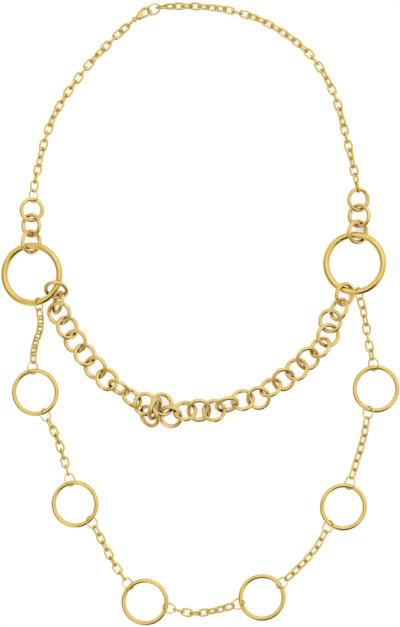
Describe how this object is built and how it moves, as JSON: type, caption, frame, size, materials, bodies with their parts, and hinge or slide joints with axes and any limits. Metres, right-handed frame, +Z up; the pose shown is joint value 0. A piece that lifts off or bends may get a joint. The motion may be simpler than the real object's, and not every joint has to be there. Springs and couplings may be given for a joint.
{
  "type": "long necklace",
  "caption": "Long two-strand necklace lying flat: cable chain with a lobster clasp, a strand of round links and a lower strand of plain rings on short chains.",
  "frame": {"origin": "on the surface that the necklace lies on, under the middle of its outline", "axes": "+Y from the lower strand towards the clasp, +Z up from the surface, +X to the right as the picture shows it"},
  "size_m": [0.239, 0.374, 0.0147],
  "materials": {
    "chain_gold": "polished pale gold plating",
    "link_gold": "polished pale gold plating",
    "ring_gold": "polished pale gold plating",
    "clasp_gold": "polished gold plating"
  },
  "bodies": {
    "root": {"clasp_body": "clasp_gold", "clasp_ring": "clasp_gold", "arch_chain_left": "chain_gold", "arch_chain_right": "chain_gold", "stack_ring_left_1": "link_gold", "stack_ring_left_2": "link_gold", "stack_ring_left_3": "link_gold", "stack_ring_right_1": "link_gold", "stack_ring_right_2": "link_gold", "stack_ring_right_3": "link_gold", "large_ring_left": "ring_gold", "large_ring_right": "ring_gold", "middle_ring_1": "link_gold", "middle_ring_2": "link_gold", "middle_ring_3": "link_gold", "middle_ring_4": "link_gold", "middle_ring_5": "link_gold", "middle_ring_6": "link_gold", "middle_ring_7": "link_gold", "middle_ring_8": "link_gold", "middle_ring_9": "link_gold", "middle_ring_10": "link_gold", "middle_ring_11": "link_gold", "middle_ring_12": "link_gold", "middle_ring_13": "link_gold", "middle_ring_14": "link_gold", "middle_ring_15": "link_gold", "middle_ring_16": "link_gold", "middle_ring_17": "link_gold", "middle_ring_18": "link_gold", "middle_ring_19": "link_gold", "middle_ring_20": "link_gold", "middle_ring_21": "link_gold", "middle_ring_22": "link_gold", "middle_ring_23": "link_gold", "middle_ring_24": "link_gold", "middle_ring_25": "link_gold", "middle_ring_26": "link_gold", "middle_ring_27": "link_gold", "middle_ring_28": "link_gold", "middle_ring_29": "link_gold", "middle_ring_30": "link_gold", "lower_ring_1": "ring_gold", "lower_ring_2": "ring_gold", "lower_ring_3": "ring_gold", "lower_ring_4": "ring_gold", "lower_ring_5": "ring_gold", "lower_ring_6": "ring_gold", "lower_chain_1": "chain_gold", "lower_chain_2": "chain_gold", "lower_chain_3": "chain_gold", "lower_chain_4": "chain_gold", "lower_chain_5": "chain_gold", "lower_chain_6": "chain_gold", "lower_chain_7": "chain_gold"},
    "lever": {"clasp_lever": "clasp_gold"}
  },
  "joints": [
    {"name": "lever_hinge", "type": "hinge", "parent": "root", "child": "lever", "pos_m": [-0.03621, 0.17751, 0.003], "axis": [0, 0, 1], "range_deg": [0, 20], "stiffness_Nm_per_rad": 0.002, "springref_deg": -11.46}
  ]
}
